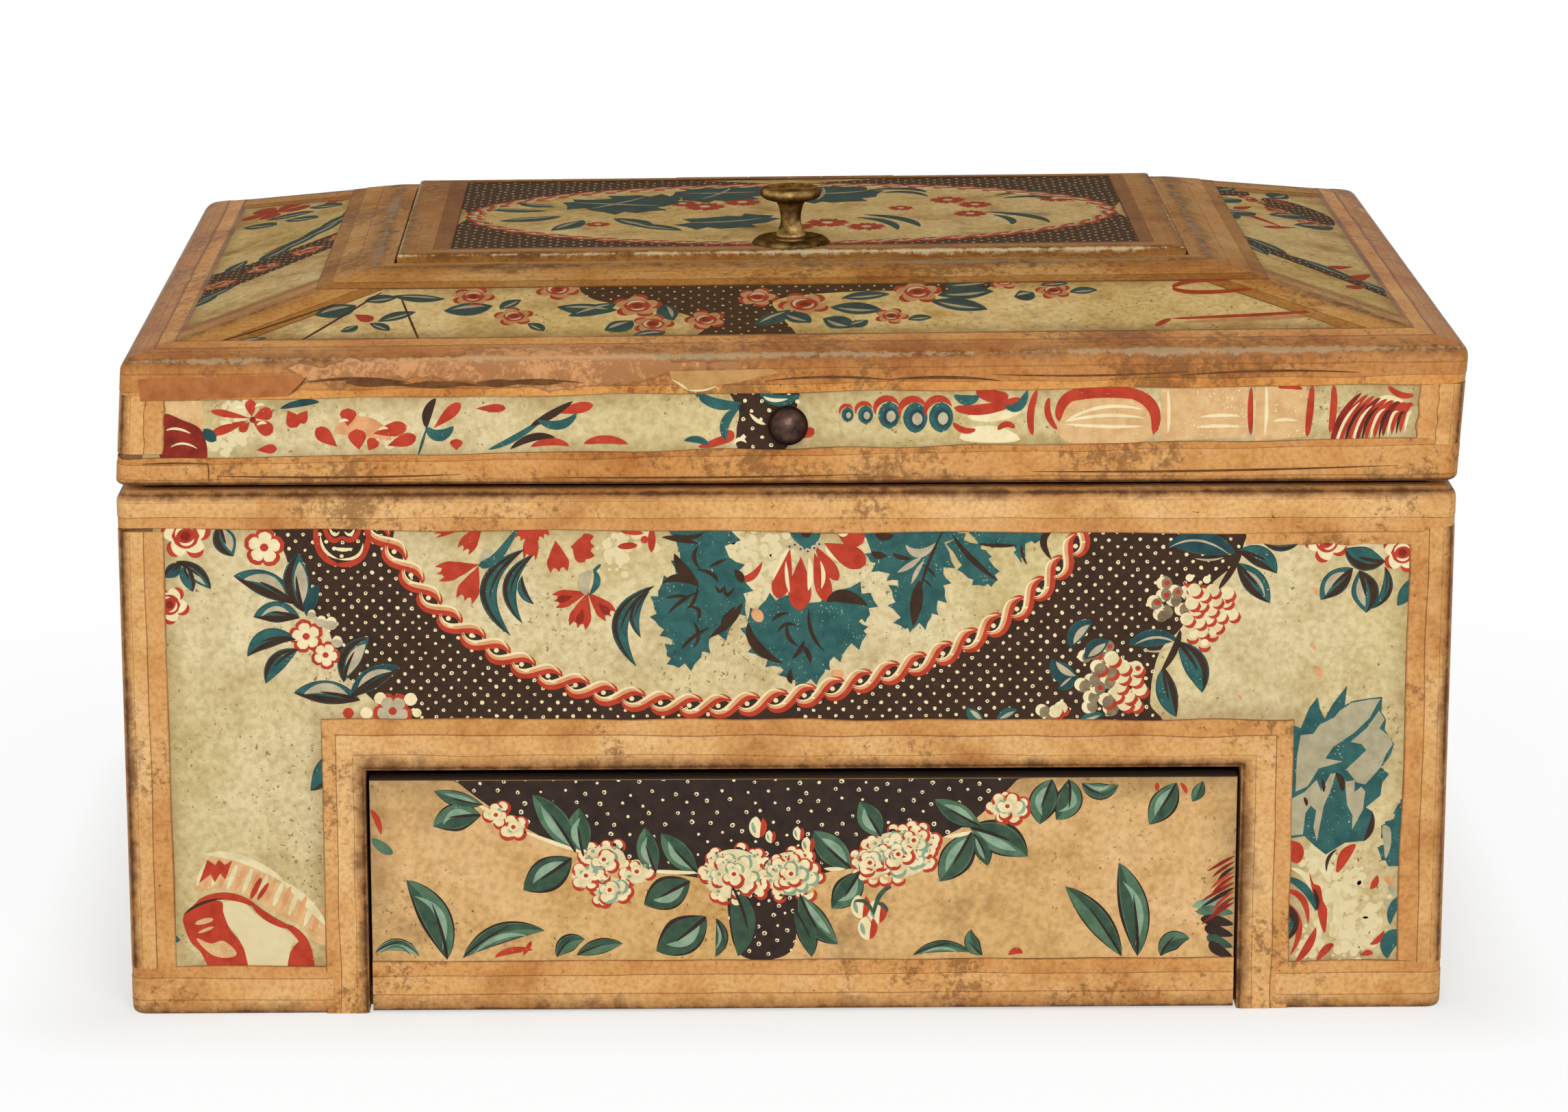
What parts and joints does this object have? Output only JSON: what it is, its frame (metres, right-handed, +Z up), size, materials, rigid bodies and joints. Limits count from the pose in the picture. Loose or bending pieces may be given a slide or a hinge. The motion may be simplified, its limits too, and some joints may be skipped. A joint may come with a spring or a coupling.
{
  "type": "work box",
  "caption": "Papered wooden work box with a hipped lid, a small hinged lid with a brass knob in its flat top, and a drawer low in the front.",
  "frame": {"origin": "middle of the underside, on the table", "axes": "+Z up, front towards -Y, +X to the right as seen from the front"},
  "size_m": [0.3318, 0.2251, 0.2],
  "materials": {
    "softwood": "aged, unfinished",
    "printed_paper": "matt, worn",
    "drawer_paper": "varnished, worn",
    "binding_paper": "matt, grimy",
    "iron": "dark patina",
    "brass": "dull patina"
  },
  "bodies": {
    "case": {"front_panel": "softwood", "left_foot_panel": "softwood", "right_foot_panel": "softwood", "back_board": "softwood", "left_side_board": "softwood", "right_side_board": "softwood", "base_board": "softwood", "compartment_floor": "softwood", "left_drawer_cheek": "softwood", "right_drawer_cheek": "softwood", "front_paper": "printed_paper", "side_papers": "printed_paper", "case_top_binding": "binding_paper", "case_corner_bindings": "binding_paper", "case_foot_binding": "binding_paper", "opening_binding": "binding_paper", "left_case_leaf": "iron", "right_case_leaf": "iron", "hinge_pins": "iron", "case_hinge_nails": "iron"},
    "lid": {"front_rim_board": "softwood", "back_rim_board": "softwood", "left_rim_board": "softwood", "right_rim_board": "softwood", "front_slope_board": "softwood", "back_slope_board": "softwood", "left_slope_board": "softwood", "right_slope_board": "softwood", "front_well_wall": "softwood", "back_well_wall": "softwood", "left_well_wall": "softwood", "right_well_wall": "softwood", "well_floor": "softwood", "well_ledges": "softwood", "rim_papers": "printed_paper", "slope_papers": "printed_paper", "lid_foot_binding": "binding_paper", "lid_corner_bindings": "binding_paper", "eave_bindings": "binding_paper", "lid_top_binding": "binding_paper", "lift_stud": "iron", "left_lid_leaf": "iron", "right_lid_leaf": "iron", "lid_hinge_nails": "iron", "frame_leaf": "brass"},
    "small_lid": {"hatch_board": "softwood", "hatch_paper": "printed_paper", "hatch_binding": "binding_paper", "hatch_leaf": "brass", "hatch_pin": "brass", "rosette": "brass", "knob": "brass"},
    "drawer": {"drawer_front": "softwood", "drawer_left_side": "softwood", "drawer_right_side": "softwood", "drawer_back": "softwood", "drawer_bottom": "softwood", "drawer_paper": "drawer_paper", "drawer_binding": "binding_paper"}
  },
  "joints": [
    {"name": "lid_hinge", "type": "hinge", "parent": "case", "child": "lid", "pos_m": [0, 0.1097, 0.1358], "axis": [-1, 0, 0], "range_deg": [0, 105]},
    {"name": "small_lid_hinge", "type": "hinge", "parent": "lid", "child": "small_lid", "pos_m": [0.00188, 0.0548, 0.18362], "axis": [-1, 0, -0.0079], "range_deg": [0, 105]},
    {"name": "drawer_slide", "type": "slide", "parent": "case", "child": "drawer", "axis": [0, -1, 0], "range_m": [0, 0.15]}
  ]
}
